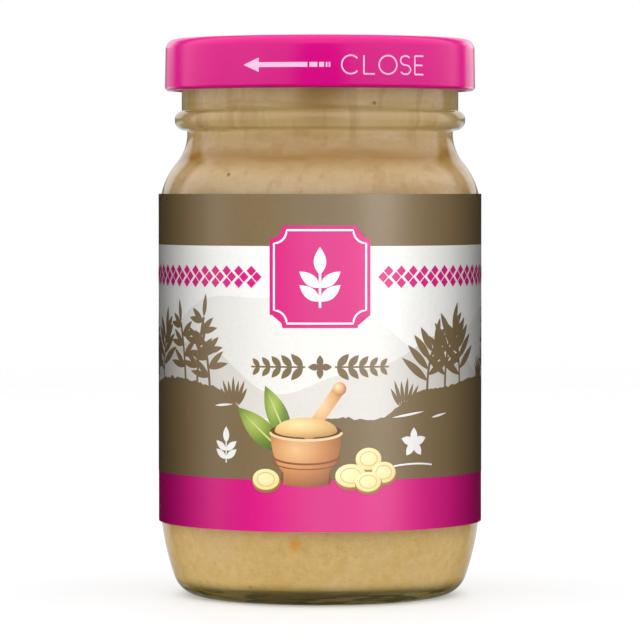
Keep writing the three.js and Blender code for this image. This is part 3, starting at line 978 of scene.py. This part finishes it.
# Each stop of the tent's cards: from 0 behind the jar to 1 in front of it, and how bright it is there.
TENT_CARDS = ((0, 0.8), (0.09, 0.8), (0.128, 0.08), (0.206, 0.08), (0.265, 1), (0.95, 1), (0.985, 0.12))
NEAR_AWAY = 0.24
FAR_AWAY = 0.95
LOW_UP = 0.06
NEAR_SIZE = (0.1, 0.5)
NEAR_POWER = 0.55
FILL_UP = 0.2
FILL_SIZE = (1.1, 0.5)
FILL_POWER = 6.1
SIDE_SIZE = (0.4, 0.5)
SIDE_POWER = 0.6
LID_LIGHT_TURNS = (55, 125, 235, 305)
LID_LIGHT_UP = 0.1
LID_LIGHT_SIZE = (0.5, 0.5)
LID_LIGHT_POWER = 2.4
# Each strip light: its name, its place, its size and its power.
STRIP_LIGHTS = (
    ("strip_light_right", (0.72, -0.76, 0.35), (0.42, 0.6), 14),
    ("strip_light_left", (-1.02, -0.24, 0.1), (0.14, 0.8), 3.4),
)
RIM_SIZE = (0.42, 0.6)
RIM_LIGHTS = (
    ("rim_light_left", (-0.5, 0.82, 0.11), 0.36),
    ("rim_light_right", (0.5, 0.82, 0.11), 0.75),
)
PASTE_AIM_Z = 8
PASTE_LIGHT_SIZE = (0.1, 0.03)
PASTE_LIGHT_POWER = 0.006
PASTE_LIGHTS = (
    ("low_light_left", (-0.11, -0.07, 0.004), 2.7),
    ("low_light_right", (0.1, -0.09, 0.004), 1),
    ("low_light_back", (0, 0.13, 0.004), 1),
)
EYE_Z = 73.7
AIM_Z = 49.7
EYE_AWAY = 750
FRAME_WIDE = 116.16
SENSOR = 36


def staged(bm, name, material):
    """Makes a mesh object that belongs to the studio and not to the jar."""
    mesh = bpy.data.meshes.new(name)
    bm.to_mesh(mesh)
    bm.free()
    mesh.materials.append(material)
    piece = bpy.data.objects.new(name, mesh)
    scene.collection.objects.link(piece)
    return piece


floor_mesh = bmesh.new()
bmesh.ops.create_circle(floor_mesh, cap_ends=True, segments=96, radius=FLOOR_R)
floor_look, tree, shader = finish("pale_table", {"Roughness": 0.6, "Emission Color": (1, 1, 1, 1)})
place = add(tree, "ShaderNodeTexCoord").outputs["Object"]
away = add(tree, "ShaderNodeVectorMath", {0: place}, operation="LENGTH").outputs["Value"]
# Painted light: the table glows outside the jar's foot, which pales the jar's shadow on it.
glow_outside_jar = spread(tree, away, BASE_RING_R * MM, BODY_R * MM, 0, 1)
tree.links.new(mixed(tree, glow_outside_jar, FLOOR_PALE, FLOOR_DIM), shader.inputs["Base Color"])
tree.links.new(product(tree, glow_outside_jar, FLOOR_GLOW), shader.inputs["Emission Strength"])
fade = {"Value": away, "From Min": FLOOR_CLEAR, "From Max": FLOOR_R, "To Min": 1, "To Max": 0}
faded = add(tree, "ShaderNodeMapRange", fade, interpolation_type="SMOOTHERSTEP")
tree.links.new(faded.outputs["Result"], shader.inputs["Alpha"])
floor = staged(floor_mesh, "table_top", floor_look)
floor.visible_diffuse = False
floor.visible_glossy = False


def glowing(name):
    """A material that only gives off white light, its node tree and its light."""
    look = bpy.data.materials.new(name)
    look.use_nodes = True
    tree = look.node_tree
    tree.nodes.remove(tree.nodes["Principled BSDF"])
    light = add(tree, "ShaderNodeEmission")
    tree.links.new(light.outputs["Emission"], tree.nodes["Material Output"].inputs["Surface"])
    return look, tree, light


tent_mesh = bmesh.new()
bmesh.ops.create_uvsphere(tent_mesh, u_segments=48, v_segments=24, radius=TENT_R)
bmesh.ops.reverse_faces(tent_mesh, faces=tent_mesh.faces)
tent_look, tree, tent_light = glowing("white_tent")
place = add(tree, "ShaderNodeTexCoord").outputs["Object"]
front = {0: place, 1: (0, -1 / TENT_R, 0)}
toward = add(tree, "ShaderNodeVectorMath", front, operation="DOT_PRODUCT").outputs["Value"]
turned_to = add(tree, "ShaderNodeMapRange", {"Value": toward, "From Min": -1}).outputs["Result"]
cards = ramp(tree, turned_to, [(at, (level, level, level, 1)) for at, level in TENT_CARDS])
up = add(tree, "ShaderNodeSeparateXYZ", {"Vector": place}).outputs["Z"]
overhead = spread(tree, up, *TENT_RISE, TENT_LOW, TENT_HIGH)
above_table = spread(tree, up, *TENT_HORIZON, TENT_UNDER, 1)
band = distance(tree, up, TENT_BAND_UP * TENT_R)
band = spread(tree, band, 0.8 * TENT_BAND_UP * TENT_R, 1.2 * TENT_BAND_UP * TENT_R, TENT_BAND, 1)
band = spread(tree, turned_to, *TENT_BACK, band, 1)
glow = product(tree, product(tree, product(tree, overhead, cards), above_table), band)
tree.links.new(glow, tent_light.inputs["Strength"])
tent = staged(tent_mesh, "white_tent", tent_look)
tent.visible_camera = False

room = bpy.data.worlds.new("white_room")
room.use_nodes = True
room.node_tree.nodes["Background"].inputs["Color"].default_value = (1, 1, 1, 1)
scene.world = room


def lit(name, pieces):
    """A collection of the pieces that a light falls on."""
    group = bpy.data.collections.new(name)
    for piece in pieces:
        group.objects.link(piece)
    return group


def soft_light(name, place, aim_z, size, power, receivers, glint=False):
    """A rectangle of soft light, or of a glint, on some pieces, turned to a height on the jar's axis."""
    lamp = bpy.data.lights.new(name, "AREA")
    lamp.shape = "RECTANGLE"
    lamp.size, lamp.size_y = size
    lamp.energy = power
    light = bpy.data.objects.new(name, lamp)
    scene.collection.objects.link(light)
    light.location = place
    look = Vector((0, 0, aim_z * MM)) - light.location
    light.rotation_euler = look.to_track_quat("-Z", "Y").to_euler()
    light.visible_camera = False
    light.visible_diffuse = not glint
    light.visible_glossy = glint
    light.visible_transmission = False
    light.light_linking.receiver_collection = receivers


in_tent = lit("in_tent", (glass_jar, root_paste, seal, twist_lid, lid_print, floor))
tent.light_linking.receiver_collection = in_tent
print_lit = lit("print_lit", (paper_label, label_print))
lid_lit = lit("lid_lit", (twist_lid, lid_print))
paste_lit = lit("paste_lit", (root_paste,))
for name, side in (("front", -1), ("back", 1)):
    soft_light(f"{name}_light", (0, side * NEAR_AWAY, LOW_UP), AIM_Z, NEAR_SIZE, NEAR_POWER, print_lit)
    soft_light(f"{name}_fill", (0, side * FAR_AWAY, FILL_UP), AIM_Z, FILL_SIZE, FILL_POWER, print_lit)
for name, side in (("left", -1), ("right", 1)):
    soft_light(f"{name}_fill", (side * FAR_AWAY, 0, LOW_UP), AIM_Z, SIDE_SIZE, SIDE_POWER, print_lit)
for turn in LID_LIGHT_TURNS:
    spot = (FAR_AWAY * sin(radians(turn)), -FAR_AWAY * cos(radians(turn)), LID_LIGHT_UP)
    soft_light(f"lid_light_{turn}", spot, LID_TOP, LID_LIGHT_SIZE, LID_LIGHT_POWER, lid_lit)
for name, spot, size, power in STRIP_LIGHTS:
    soft_light(name, spot, AIM_Z, size, power, print_lit, glint=True)
for name, spot, power in RIM_LIGHTS:
    soft_light(name, spot, LID_TOP, RIM_SIZE, power, lid_lit, glint=True)
for name, spot, share in PASTE_LIGHTS:
    soft_light(name, spot, PASTE_AIM_Z, PASTE_LIGHT_SIZE, PASTE_LIGHT_POWER * share, paste_lit)

camera = bpy.data.cameras.new("camera")
camera.sensor_width = SENSOR
rise = (EYE_Z - AIM_Z) / EYE_AWAY
camera.lens = SENSOR * EYE_AWAY * math.hypot(1, rise) / FRAME_WIDE
eye = bpy.data.objects.new("camera", camera)
scene.collection.objects.link(eye)
eye.location = (0, -EYE_AWAY * MM, EYE_Z * MM)
eye.rotation_euler = (pi / 2 - math.atan(rise), 0, 0)
scene.camera = eye
scene.view_settings.view_transform = "Standard"
